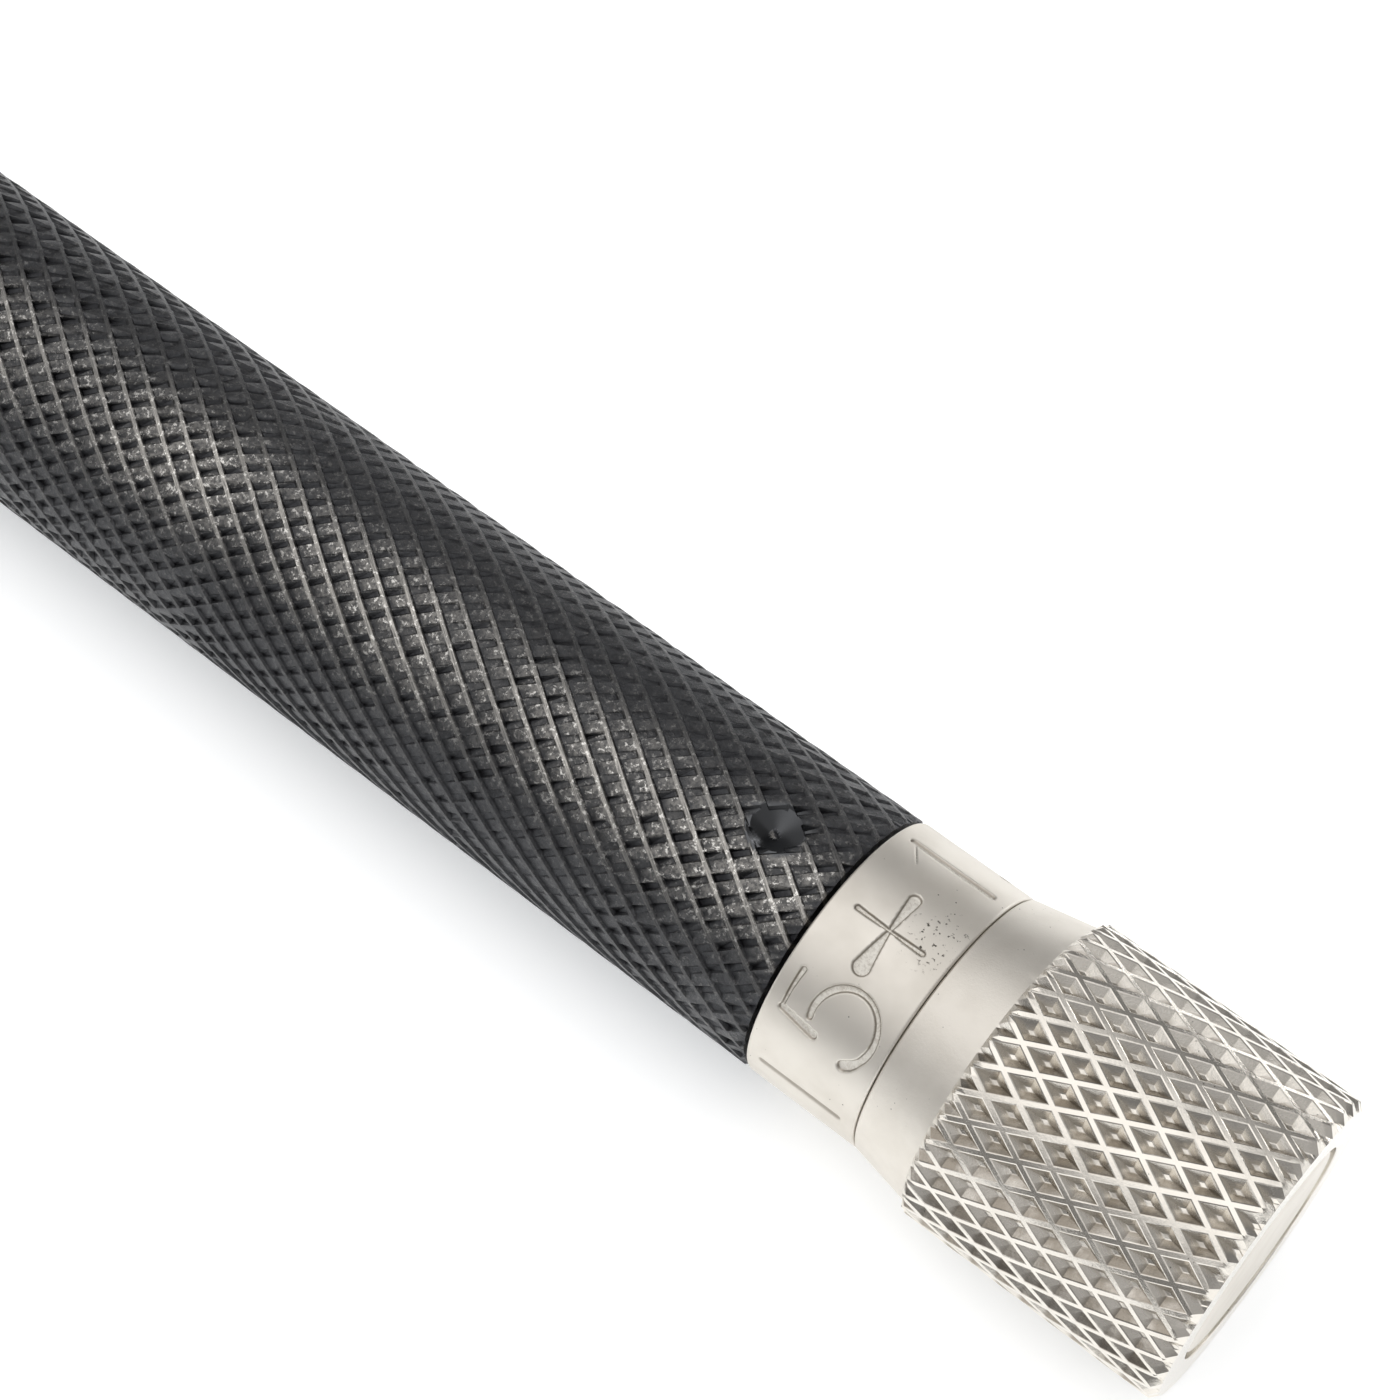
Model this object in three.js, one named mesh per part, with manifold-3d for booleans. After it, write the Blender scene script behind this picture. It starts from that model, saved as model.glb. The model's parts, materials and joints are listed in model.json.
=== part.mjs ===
// Spring-loaded pocket scriber with an adjustable pressure, lying along X, its adjusting cap at +X.
// Millimetres, +Z up. It rests on z = 0 on one flat of its hexagonal collar and on its cap.
// Stations are distances along the tool's axis from the handle's rear end, positive towards the cap.
import * as THREE from "three";
import { mergeVertices } from "three/addons/utils/BufferGeometryUtils.js";
import Module from "manifold-3d";

const wasm = await Module();
wasm.setup();

// Outside sizes.
const toolLength = 160;
const capEnd = 20.3;
const capRadius = 6.9;
const handleRadius = 6;
const handleLength = 76;
const dialWidth = 5.44;
const coneWidth = 2.81;
const axisHeight = capRadius;

// Fits, as gaps between radii.
const runningGap = 0.06;
const restingGap = 0.05;
const faceGap = 0.1;

// Inside sizes.
const boreRadius = 4.6;
const innerRadius = boreRadius - 2 * runningGap;
const spindleRadius = 2.6;
const hubRadius = 3.9;
const plungerRadius = 2.5;
const rodRadius = 2.3;
const spigotRadius = 2;
const pointRadius = 1.15;
const screwRadius = 1.5;
const screwHeadRadius = 2.75;

// The dial: three settings, repeated three times round the ring, on a three-lobed face cam.
const lobes = 3;
const dialStep = 40;
const dialTravel = 2 * dialStep;
const camLift = 3;
const camRampAngle = 90;
const camToothHeight = (camLift / dialTravel) * camRampAngle;
const camGap = 0.3;

// Stations of the rear end, from the cap inwards.
const hubFront = 0.5;
const hubRear = 8.9;
const webFront = 9;
const webRear = 12;
const bushFront = -6.3;
const camRear = -7.2;
const camBase = -9.6;
const spindleFront = -13.4;
const followerBase = camBase - camToothHeight - camGap - camLift;
const followerFront = -20.5;

// Stations of the spring and the front end.
const pushTubeFront = -40;
const seatThickness = 1;
const springRear = pushTubeFront - seatThickness - 2 * faceGap;
const flangeRear = -62.7;
const springFront = flangeRear + seatThickness + faceGap;
const flangeFront = -65;
const frontBushRear = -66.1;
const collarRear = -handleLength - faceGap;
const collarFront = -82.3;
const frontNeckRadius = 3.6;
const frontNeckFront = -84.8;
const noseRear = -82.4;
const noseRingStation = -88.1;
const noseFront = -92;
const chuckRear = -95.2;
const plungerShoulder = -96.6;
const plungerFront = -103;
const chuckFront = -108.5;
const pointRear = -76;
const pointShoulder = -126;
const tipRear = -137.2;
const tipFront = capEnd - toolLength;

// The conical spot, on top of the handle, that the dial is read against.
const spotStation = -3.38;
const spotRadius = 1.2;
const spotDepth = 0.75;

// The detent under the dial, and the pin across the cam.
const detentCircle = 3.5;
const detentBallRadius = 0.6;
const camPinRadius = 0.6;
const camPinStation = (camRear + camBase) / 2;

const segments = 32;
const camSegments = 48;
const smallSegments = 16;

// A profile of [radius, station] points, turned about the X axis. It closes on itself unless it starts
// and ends on the axis.
function turned(profile, sides = segments) {
  const onAxis = profile[0][0] === 0 && profile[profile.length - 1][0] === 0;
  const loop = onAxis ? profile : [...profile, profile[0]];
  let area = 0;
  loop.forEach(([r, s], i) => {
    const [nextR, nextS] = loop[(i + 1) % loop.length];
    area += r * nextS - nextR * s;
  });
  const points = loop.map(([r, s]) => new THREE.Vector2(r, s));
  if (area < 0) points.reverse();
  return new THREE.LatheGeometry(points, sides).rotateZ(-Math.PI / 2);
}

// A plain sleeve between two stations.
function sleeve(outer, inner, from, to, sides = segments) {
  return turned([[inner, from], [outer, from], [outer, to], [inner, to]], sides);
}

// A sleeve whose outer edges are broken by a chamfer.
function chamferedSleeve(outer, inner, from, to, chamfer, sides = segments) {
  const profile = [
    [inner, from],
    [outer - chamfer, from],
    [outer, from + chamfer],
    [outer, to - chamfer],
    [outer - chamfer, to],
    [inner, to],
  ];
  return turned(profile, sides);
}

// An O-ring about the X axis.
function ring(meanRadius, wireRadius, station) {
  return new THREE.TorusGeometry(meanRadius, wireRadius, 8, segments)
    .rotateY(Math.PI / 2)
    .translate(station, 0, 0);
}

// The centreline of a coil spring about the X axis.
class Helix extends THREE.Curve {
  constructor(radius, from, to, turns) {
    super();
    Object.assign(this, { radius, from, to, turns });
  }
  getPoint(t, target = new THREE.Vector3()) {
    const angle = t * this.turns * 2 * Math.PI;
    const station = this.from + (this.to - this.from) * t;
    return target.set(station, this.radius * Math.cos(angle), this.radius * Math.sin(angle));
  }
}

// A coil spring that stands between two faces, its wire clear of both.
function coil(radius, wireRadius, from, to, turns, stepsPerTurn, sides) {
  const inset = wireRadius + restingGap;
  const path = new Helix(radius, from + inset, to - inset, turns);
  const section = new THREE.Shape();
  for (let i = 0; i < sides; i++) {
    const angle = (i / sides) * 2 * Math.PI;
    const point = [wireRadius * Math.cos(angle), wireRadius * Math.sin(angle)];
    if (i === 0) section.moveTo(...point);
    else section.lineTo(...point);
  }
  section.closePath();
  const steps = Math.round(turns * stepsPerTurn);
  return new THREE.ExtrudeGeometry(section, { steps, extrudePath: path, bevelEnabled: false });
}

// Boolean cuts, made on closed solids.
function toSolid(geometry) {
  const bare = geometry.index ? geometry.toNonIndexed() : geometry.clone();
  bare.deleteAttribute("normal");
  bare.deleteAttribute("uv");
  const welded = mergeVertices(bare, 1e-4);
  const vertProperties = welded.getAttribute("position").array;
  const triVerts = new Uint32Array(welded.index.array);
  return new wasm.Manifold(new wasm.Mesh({ numProp: 3, vertProperties, triVerts }));
}

function toGeometry(solid) {
  const mesh = solid.getMesh();
  const geometry = new THREE.BufferGeometry();
  geometry.setAttribute("position", new THREE.BufferAttribute(mesh.vertProperties, 3));
  geometry.setIndex(new THREE.BufferAttribute(mesh.triVerts, 1));
  return geometry;
}

function cut(geometry, ...tools) {
  const left = tools.reduce((solid, tool) => solid.subtract(toSolid(tool)), toSolid(geometry));
  return toGeometry(left);
}

function common(a, b) {
  return toGeometry(toSolid(a).intersect(toSolid(b)));
}

// A radial direction, given as the angle from +Z towards +Y.
function radial(angle, radius, station) {
  const a = THREE.MathUtils.degToRad(angle);
  return new THREE.Vector3(station, radius * Math.sin(a), radius * Math.cos(a));
}

// Height of a cam tooth at an angle about +X: a ramp that falls over the ramp angle, then a steep
// return.
function camHeight(angle) {
  const pitch = 360 / lobes;
  const a = ((angle % pitch) + pitch) % pitch;
  if (a <= camRampAngle) return camToothHeight * (1 - a / camRampAngle);
  return (camToothHeight * (a - camRampAngle)) / (pitch - camRampAngle);
}

// A sleeve whose teeth stand out of the face at the given station, by the height function.
function toothedSleeve(outer, inner, faceStation, backStation, heightAt) {
  const geometry = sleeve(outer, inner, faceStation, backStation, camSegments);
  const position = geometry.getAttribute("position");
  const towardsFace = Math.sign(faceStation - backStation);
  for (let i = 0; i < position.count; i++) {
    if (Math.abs(position.getX(i) - faceStation) > 1e-3) continue;
    const angle = THREE.MathUtils.radToDeg(Math.atan2(position.getZ(i), position.getY(i)));
    const step = 360 / camSegments;
    const height = heightAt(Math.round(angle / step) * step);
    position.setX(i, faceStation + towardsFace * height);
  }
  return geometry;
}

// Finishes.
const finishes = {
  blackened: { color: 0x34353a, roughness: 0.5, metalness: 0.9 },
  nickel: { color: 0xd8d2c6, roughness: 0.32, metalness: 1 },
  steel: { color: 0xb4b6b8, roughness: 0.35, metalness: 1 },
  hardened: { color: 0x8c8f93, roughness: 0.28, metalness: 1 },
  springSteel: { color: 0x5b5f66, roughness: 0.4, metalness: 0.9 },
  brass: { color: 0xb8934a, roughness: 0.35, metalness: 1 },
  rubber: { color: 0x17171a, roughness: 0.85, metalness: 0 },
  carbide: { color: 0x54565a, roughness: 0.25, metalness: 0.9 },
};

const axisGroup = new THREE.Group();
axisGroup.position.set(toolLength / 2 - capEnd, 0, axisHeight);

function add(name, geometry, finish) {
  const mesh = new THREE.Mesh(geometry, new THREE.MeshStandardMaterial(finishes[finish]));
  mesh.name = name;
  axisGroup.add(mesh);
}

// Handle and what is fixed in it.
function handleTube() {
  const frontChamfer = 0.4;
  const rearChamfer = 0.12;
  const profile = [
    [boreRadius, -handleLength],
    [handleRadius - frontChamfer, -handleLength],
    [handleRadius, -handleLength + frontChamfer],
    [handleRadius, -faceGap - rearChamfer],
    [handleRadius - rearChamfer, -faceGap],
    [boreRadius, -faceGap],
  ];
  const overshoot = 0.4;
  const scale = (spotDepth + overshoot) / spotDepth;
  const drill = new THREE.ConeGeometry(spotRadius * scale, spotDepth * scale, smallSegments)
    .rotateX(-Math.PI / 2)
    .translate(spotStation, 0, handleRadius + overshoot - (spotDepth + overshoot) / 2);
  return cut(turned(profile), drill);
}

function rearBush() {
  const outer = boreRadius - restingGap - 0.01;
  const body = sleeve(outer, spindleRadius + runningGap, bushFront, -2 * faceGap);
  const wellFront = -4.2;
  const well = new THREE.CylinderGeometry(detentBallRadius + 0.06, detentBallRadius + 0.06, 5, 16)
    .rotateZ(Math.PI / 2)
    .translate(wellFront + 2.5, 0, detentCircle);
  return cut(body, well);
}

function detentBall() {
  const clearOfHub = 0.05;
  return new THREE.SphereGeometry(detentBallRadius, 16, 12).translate(
    hubFront - clearOfHub - detentBallRadius,
    0,
    detentCircle,
  );
}

function detentSpring() {
  const coilRadius = 0.4;
  const wireRadius = 0.11;
  const from = -4.15;
  const to = hubFront - 0.1 - 2 * detentBallRadius;
  return coil(coilRadius, wireRadius, from, to, 5, 8, 5).translate(0, 0, detentCircle);
}

function guideKey() {
  const width = 1.4;
  const inner = 3.75;
  const outer = 4.5;
  const from = -20.3;
  const to = -14;
  return new THREE.BoxGeometry(to - from, width, outer - inner).translate(
    (from + to) / 2,
    0,
    -(inner + outer) / 2,
  );
}

function stopWasher() {
  const gap = 0.1;
  return sleeve(innerRadius, plungerRadius + gap, frontBushRear + gap, flangeFront - gap);
}

function frontBush() {
  const bore = plungerRadius + runningGap;
  const outer = boreRadius - restingGap - 0.01;
  const neck = frontNeckRadius;
  const profile = [
    [bore, frontNeckFront],
    [neck, frontNeckFront],
    [neck, -handleLength],
    [outer, -handleLength],
    [outer, frontBushRear],
    [bore, frontBushRear],
  ];
  return turned(profile);
}

function hexCollar() {
  const corner = capRadius / Math.cos(Math.PI / 6);
  const length = collarRear - collarFront;
  const prism = new THREE.CylinderGeometry(corner, corner, length, 6)
    .rotateZ(Math.PI / 2)
    .rotateX(Math.PI / 6)
    .translate((collarRear + collarFront) / 2, 0, 0);
  const chamfer = 0.8;
  const bore = frontNeckRadius + restingGap;
  const turnedEnds = chamferedSleeve(corner + 0.1, bore, collarFront, collarRear, chamfer);
  return common(prism, turnedEnds);
}

function noseSleeve() {
  const bore = plungerRadius + runningGap;
  const socket = frontNeckRadius + 0.06;
  const socketEnd = frontNeckFront - 0.2;
  const grooveRadius = 3.12;
  const grooveHalfWidth = 0.5;
  const profile = [
    [bore, noseFront],
    [3.8, noseFront],
    [4.1, noseFront + 0.3],
    [5.5, noseRear - 2.2],
    [5.7, noseRear - 1.6],
    [5.7, noseRear],
    [socket, noseRear],
    [socket, socketEnd],
    [bore, socketEnd],
    [bore, noseRingStation + grooveHalfWidth],
    [grooveRadius, noseRingStation + grooveHalfWidth],
    [grooveRadius, noseRingStation - grooveHalfWidth],
    [bore, noseRingStation - grooveHalfWidth],
  ];
  return turned(profile);
}

// Cap, dial and what turns with them.
function dialRing() {
  return chamferedSleeve(handleRadius, hubRadius + restingGap, faceGap, dialWidth - 0.02, 0.08);
}

function adjusterCap() {
  const profile = [
    [hubRadius + restingGap, dialWidth + 0.02],
    [handleRadius - 0.06, dialWidth + 0.02],
    [handleRadius, dialWidth + 0.08],
    [capRadius, dialWidth + coneWidth],
    [capRadius, capEnd - 0.5],
    [capRadius - 0.45, capEnd],
    [4.9, capEnd],
    [4.9, webRear],
    [screwRadius + 0.1, webRear],
    [screwRadius + 0.1, webFront],
    [hubRadius + restingGap, webFront],
  ];
  return turned(profile);
}

function endDisc() {
  const radius = 4.84;
  const thickness = 1.3;
  const rear = capEnd - faceGap;
  const profile = [
    [0, rear - thickness],
    [radius, rear - thickness],
    [radius, rear - 0.25],
    [radius - 0.25, rear],
    [0, rear],
  ];
  return turned(profile);
}

function capScrew() {
  const headFront = webRear + 0.75;
  const headRear = headFront + 2.8;
  const profile = [
    [0, 2],
    [screwRadius - 0.3, 2],
    [screwRadius, 2.3],
    [screwRadius, headFront],
    [screwHeadRadius, headFront],
    [screwHeadRadius, headRear - 0.3],
    [screwHeadRadius - 0.3, headRear],
    [0, headRear],
  ];
  const socketDepth = 1.5;
  const socket = new THREE.CylinderGeometry(1.44, 1.44, 2 * socketDepth, 6)
    .rotateZ(Math.PI / 2)
    .translate(headRear, 0, 0);
  return cut(turned(profile, smallSegments), socket);
}

function lockWasher() {
  return sleeve(screwHeadRadius, screwRadius + 0.1, webRear + 0.06, webRear + 0.7, smallSegments);
}

function spindle() {
  const grooveRadius = 2.15;
  const profile = [
    [0, spindleFront],
    [spindleRadius - 0.3, spindleFront],
    [spindleRadius, spindleFront + 0.3],
    [spindleRadius, -3.9],
    [grooveRadius, -3.9],
    [grooveRadius, -3.1],
    [spindleRadius, -3.1],
    [spindleRadius, hubFront],
    [hubRadius, hubFront],
    [hubRadius, hubRear],
    [screwRadius + restingGap, hubRear],
    [screwRadius + restingGap, 1.8],
    [0, 1.8],
  ];
  const dimpleRadius = 0.7;
  const dimples = [];
  for (let i = 0; i < 360 / dialStep; i++) {
    const place = radial(i * dialStep, detentCircle, hubFront + 0.15 - dimpleRadius);
    dimples.push(new THREE.SphereGeometry(dimpleRadius, 12, 8).translate(place.x, place.y, place.z));
  }
  return cut(turned(profile), ...dimples, crossHole(camPinRadius + 0.04));
}

// A hole or pin across the axis, along Y.
function crossHole(radius, length = 20) {
  return new THREE.CylinderGeometry(radius, radius, length, 12).translate(camPinStation, 0, 0);
}

function camSleeve() {
  const body = toothedSleeve(innerRadius, spindleRadius + restingGap, camBase, camRear, camHeight);
  const atStrongestSetting = body.rotateX(THREE.MathUtils.degToRad(dialTravel));
  return cut(atStrongestSetting, crossHole(camPinRadius + 0.04));
}

function camPin() {
  return crossHole(camPinRadius, 2 * innerRadius - 0.4);
}

// What the cam moves.
function camFollower() {
  const socket = (angle) => camToothHeight - camHeight(angle);
  const inner = spindleRadius + 2 * runningGap;
  const body = toothedSleeve(innerRadius, inner, followerBase, followerFront, socket);
  const slot = new THREE.BoxGeometry(20, 1.6, 2).translate(followerFront + 8, 0, -3.6 - 1);
  return cut(body, slot);
}

// Plunger and what it carries.
function plunger() {
  const bore = pointRadius + runningGap;
  const boreEnd = -64;
  const rodEnd = -48;
  const chamfer = 0.3;
  const profile = [
    [0, rodEnd],
    [rodRadius - chamfer, rodEnd],
    [rodRadius, rodEnd - chamfer],
    [rodRadius, flangeRear],
    [innerRadius, flangeRear],
    [innerRadius, flangeFront],
    [plungerRadius, flangeFront],
    [plungerRadius, plungerShoulder],
    [spigotRadius, plungerShoulder],
    [spigotRadius, plungerFront],
    [bore, plungerFront],
    [bore, boreEnd],
    [0, boreEnd],
  ];
  return turned(profile);
}

function collet() {
  const rear = plungerFront - 2 * faceGap;
  const front = chuckFront - 0.7;
  const bore = pointRadius + runningGap;
  const profile = [
    [bore, front],
    [1.55, front],
    [1.7, chuckFront],
    [1.98, rear],
    [bore, rear],
  ];
  const slotLength = 4.9;
  const slot = (turn) =>
    new THREE.BoxGeometry(2 * slotLength, 0.3, 6).translate(front, 0, 0).rotateX(turn);
  return cut(turned(profile, smallSegments), slot(0), slot(Math.PI / 2));
}

function chuckNut() {
  const gripRadius = 4.3;
  const gripFront = -101.5;
  const chamfer = 0.3;
  const coneRadius = 3.7;
  const profile = [
    [plungerRadius + 2 * runningGap, chuckRear],
    [gripRadius - chamfer, chuckRear],
    [gripRadius, chuckRear - chamfer],
    [gripRadius, gripFront + chamfer],
    [gripRadius - chamfer, gripFront],
    [coneRadius, gripFront],
    [coneRadius, gripFront - 0.8],
    [2.4, chuckFront],
    [1.78, chuckFront],
    [spigotRadius + runningGap, plungerFront - 0.1],
    [spigotRadius + runningGap, plungerShoulder - 0.3],
    [plungerRadius + 2 * runningGap, plungerShoulder - 0.3],
  ];
  return turned(profile);
}

function scriberPoint() {
  const profile = [
    [0, tipRear],
    [0.42, tipRear],
    [pointRadius, pointShoulder],
    [pointRadius, pointRear - 0.3],
    [pointRadius - 0.3, pointRear],
    [0, pointRear],
  ];
  return turned(profile, smallSegments);
}

function carbideTip() {
  const profile = [
    [0, tipFront],
    [0.05, tipFront],
    [0.4, tipRear - 0.02],
    [0, tipRear - 0.02],
  ];
  return turned(profile, smallSegments);
}

add("handle_tube", handleTube(), "blackened");
add("rear_bush", rearBush(), "brass");
add("detent_ball", detentBall(), "hardened");
add("detent_spring", detentSpring(), "springSteel");
add("guide_key", guideKey(), "steel");
add("stop_washer", stopWasher(), "rubber");
add("front_bush", frontBush(), "brass");
add("hex_collar", hexCollar(), "nickel");
add("nose_sleeve", noseSleeve(), "blackened");
add("nose_o_ring", ring(2.82, 0.24, noseRingStation), "rubber");

add("dial_ring", dialRing(), "nickel");
add("adjuster_cap", adjusterCap(), "nickel");
add("end_disc", endDisc(), "nickel");
add("cap_screw", capScrew(), "steel");
add("lock_washer", lockWasher(), "steel");
add("spindle", spindle(), "steel");
add("dial_o_ring", ring(2.4, 0.22, -3.5), "rubber");
add("thrust_washer", sleeve(4.3, spindleRadius + 0.1, camRear + 0.1, bushFront - 0.15), "brass");
add("cam_sleeve", camSleeve(), "hardened");
add("cam_pin", camPin(), "hardened");

add("cam_follower", camFollower(), "hardened");
add("push_tube", sleeve(3.68, 2.9, pushTubeFront, followerFront - 0.1), "steel");
add("spring_seat_rear", sleeve(4.3, rodRadius + 0.2, springRear + 0.1, pushTubeFront - 0.1), "steel");

add("pressure_spring", coil(3.45, 0.42, springFront, springRear, 7, 14, 6), "springSteel");

add("spring_seat_front", sleeve(4.3, rodRadius + 0.1, flangeRear + 0.1, springFront - 0.05), "steel");
add("plunger", plunger(), "steel");
add("collet", collet(), "hardened");
add("chuck_nut", chuckNut(), "nickel");
add("scriber_point", scriberPoint(), "hardened");
add("carbide_tip", carbideTip(), "carbide");

const scriber = new THREE.Group();
scriber.add(axisGroup);
export default scriber;
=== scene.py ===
"""Looks of the adjustable pocket scriber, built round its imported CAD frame.

Places on the tool are given by a station (millimetres along its axis from the handle's rear end, positive
towards the cap), an angle (radians from straight up, positive towards +Y) and a radius (millimetres).
"""

import json
import math

import bmesh
import bpy
import numpy as np
from mathutils import Matrix, Vector


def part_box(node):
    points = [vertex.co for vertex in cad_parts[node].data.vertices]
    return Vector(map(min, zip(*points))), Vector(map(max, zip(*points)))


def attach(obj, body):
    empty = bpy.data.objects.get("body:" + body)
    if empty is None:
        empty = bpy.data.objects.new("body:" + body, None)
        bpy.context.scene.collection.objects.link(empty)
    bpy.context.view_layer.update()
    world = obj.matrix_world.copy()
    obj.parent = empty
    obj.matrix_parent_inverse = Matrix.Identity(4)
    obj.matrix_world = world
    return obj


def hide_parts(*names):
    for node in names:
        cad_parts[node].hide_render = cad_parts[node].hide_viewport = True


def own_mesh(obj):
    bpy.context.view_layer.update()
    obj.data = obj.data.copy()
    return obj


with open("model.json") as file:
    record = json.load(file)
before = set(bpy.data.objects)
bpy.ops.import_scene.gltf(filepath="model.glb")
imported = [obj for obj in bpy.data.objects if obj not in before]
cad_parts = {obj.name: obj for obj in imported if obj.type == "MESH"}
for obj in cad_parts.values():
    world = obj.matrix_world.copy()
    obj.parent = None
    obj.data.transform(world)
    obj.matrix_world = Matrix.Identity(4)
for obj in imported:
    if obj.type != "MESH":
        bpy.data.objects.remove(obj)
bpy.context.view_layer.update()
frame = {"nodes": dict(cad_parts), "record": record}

MM = 0.001
FACE_GAP = 0.1
SEED = 7


def width_of(node):
    low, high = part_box(node)
    return (high.y - low.y) / MM


# The tool's axis and sizes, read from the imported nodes.
handle_low, handle_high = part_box("handle_tube")
ZERO_X = handle_high.x + FACE_GAP * MM
AXIS_Z = (handle_low.z + handle_high.z) / 2
HANDLE_R = width_of("handle_tube") / 2
CAP_R = width_of("adjuster_cap") / 2


def station(x):
    return (x - ZERO_X) / MM


def ends_of(node):
    low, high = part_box(node)
    return station(low.x), station(high.x)


HANDLE_FRONT, HANDLE_REAR = ends_of("handle_tube")
DIAL_FRONT, DIAL_REAR = ends_of("dial_ring")
CAP_FRONT, CAP_END = ends_of("adjuster_cap")
BORE_R = 4.6
HUB_BORE_R = 3.95
POINT_BORE_R = 1.21


# ---------------------------------------------------------------------------------------------------------
# Mesh building
# ---------------------------------------------------------------------------------------------------------


def on_tool(stations, angles, radii):
    """Points in the row frame, in metres."""
    x = ZERO_X + np.asarray(stations) * MM
    y = np.asarray(radii) * np.sin(angles) * MM
    z = AXIS_Z + np.asarray(radii) * np.cos(angles) * MM
    return np.stack(np.broadcast_arrays(x, y, z), axis=-1)


def make_piece(name, points, faces, material, body, nodes, sharp_deg=35.0):
    """A mesh in the row frame that rides on a body and stands for CAD nodes."""
    mesh = bpy.data.meshes.new(name)
    mesh.from_pydata(points.tolist() if hasattr(points, "tolist") else points, [], faces)
    mesh.update()
    mesh.polygons.foreach_set("use_smooth", [True] * len(mesh.polygons))
    mesh.set_sharp_from_angle(angle=math.radians(sharp_deg))
    mesh.materials.append(material)
    piece = bpy.data.objects.new(name, mesh)
    bpy.context.scene.collection.objects.link(piece)
    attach(piece, body)
    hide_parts(*nodes)
    return piece


def cut_away(piece, cutter_mesh, crossing=False):
    """Cuts a closed mesh, whose parts may cross each other, out of a piece. Returns the new mesh."""
    cutter = bpy.data.objects.new("cutter", cutter_mesh)
    bpy.context.scene.collection.objects.link(cutter)
    cut = piece.modifiers.new("cut", "BOOLEAN")
    cut.operation = "DIFFERENCE"
    cut.solver = "EXACT"
    cut.use_self = crossing
    cut.object = cutter
    bpy.context.view_layer.update()
    evaluated = piece.evaluated_get(bpy.context.evaluated_depsgraph_get())
    result = bpy.data.meshes.new_from_object(evaluated)
    piece.modifiers.clear()
    piece.data = result
    bpy.data.objects.remove(cutter)
    return result


def store_float(mesh, name, values):
    attribute = mesh.attributes.get(name) or mesh.attributes.new(name, "FLOAT", "POINT")
    attribute.data.foreach_set("value", np.asarray(values, np.float32))


def store_vector(mesh, name, values):
    attribute = mesh.attributes.get(name) or mesh.attributes.new(name, "FLOAT_VECTOR", "POINT")
    attribute.data.foreach_set("vector", np.asarray(values, np.float32).ravel())


def tool_coordinates(mesh):
    """Station, angle and radius of each vertex."""
    co = np.zeros(len(mesh.vertices) * 3, np.float32)
    mesh.vertices.foreach_get("co", co)
    x, y, z = co.reshape(-1, 3).astype(float).T
    z = z - AXIS_Z
    return (x - ZERO_X) / MM, np.arctan2(y, z), np.hypot(y, z) / MM


def rounded(profile, radius, steps=3, closed=True):
    """The outline with each corner replaced by an arc of that radius, or less where the sides are short."""
    out = []
    count = len(profile)
    for i, (s, r) in enumerate(profile):
        if not closed and i in (0, count - 1):
            out.append((s, r))
            continue
        here = Vector((s, r))
        before = Vector(profile[i - 1]) - here
        after = Vector(profile[(i + 1) % count]) - here
        turn = math.pi - before.angle(after)
        if turn < math.radians(5):
            out.append((s, r))
            continue
        reach = min(radius * math.tan(turn / 2), 0.4 * before.length, 0.4 * after.length)
        a = here + before.normalized() * reach
        b = here + after.normalized() * reach
        for k in range(steps + 1):
            t = k / steps
            point = a.lerp(here, t).lerp(here.lerp(b, t), t)
            out.append((point.x, point.y))
    return out


def revolve(profile, sides, radius_at=None):
    """Points and faces of a closed (station, radius) outline turned about the axis. The outline runs along
    the outside towards the cap. It may start and end on the axis instead of closing on itself."""
    s = np.array([p[0] for p in profile])
    r = np.array([p[1] for p in profile])
    angles = np.arange(sides) * 2 * math.pi / sides
    S, T = np.meshgrid(s, angles, indexing="ij")
    R = np.repeat(r[:, None], sides, axis=1)
    if radius_at is not None:
        R = radius_at(S, T, R)
    points = on_tool(S, T, R).reshape(-1, 3)
    on_axis = r[0] == 0 and r[-1] == 0
    pairs = [(i, i + 1) for i in range(len(profile) - 1)]
    if not on_axis:
        pairs.append((len(profile) - 1, 0))
    faces = []
    first, last = 0, len(profile) - 1
    for a, b in pairs:
        for j in range(sides):
            k = (j + 1) % sides
            if on_axis and a == first:
                faces.append((a * sides, b * sides + j, b * sides + k))
            elif on_axis and b == last:
                faces.append((a * sides + j, b * sides, a * sides + k))
            else:
                faces.append((a * sides + j, b * sides + j, b * sides + k, a * sides + k))
    if on_axis:
        keep = np.ones(len(points), bool)
        keep[1:sides] = False
        keep[last * sides + 1 :] = False
        index = np.cumsum(keep) - 1
        points = points[keep]
        faces = [tuple(int(index[v]) for v in f) for f in faces]
    return points, faces


def hashed(*values):
    """A number from 0 to 1 for each set of whole numbers, the same on each run."""
    mixed = np.zeros(np.broadcast(*values).shape) + SEED
    for value, step in zip(values, (12.9898, 78.233, 37.719)):
        mixed = mixed + np.asarray(value, float) * step
    wave = np.sin(mixed) * 43758.5453
    return wave - np.floor(wave)


def smooth_noise(x, y, period_y=None):
    """Value noise of two coordinates, from -1 to 1, which may repeat along the second."""
    x0, y0 = np.floor(x), np.floor(y)
    fx, fy = x - x0, y - y0
    fx, fy = fx * fx * (3 - 2 * fx), fy * fy * (3 - 2 * fy)

    def corner(i, j):
        column = y0 + j
        if period_y:
            column = np.mod(column, period_y)
        return hashed(x0 + i, column)

    low = corner(0, 0) * (1 - fx) + corner(1, 0) * fx
    high = corner(0, 1) * (1 - fx) + corner(1, 1) * fx
    return 2 * (low * (1 - fy) + high * fy) - 1


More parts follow.
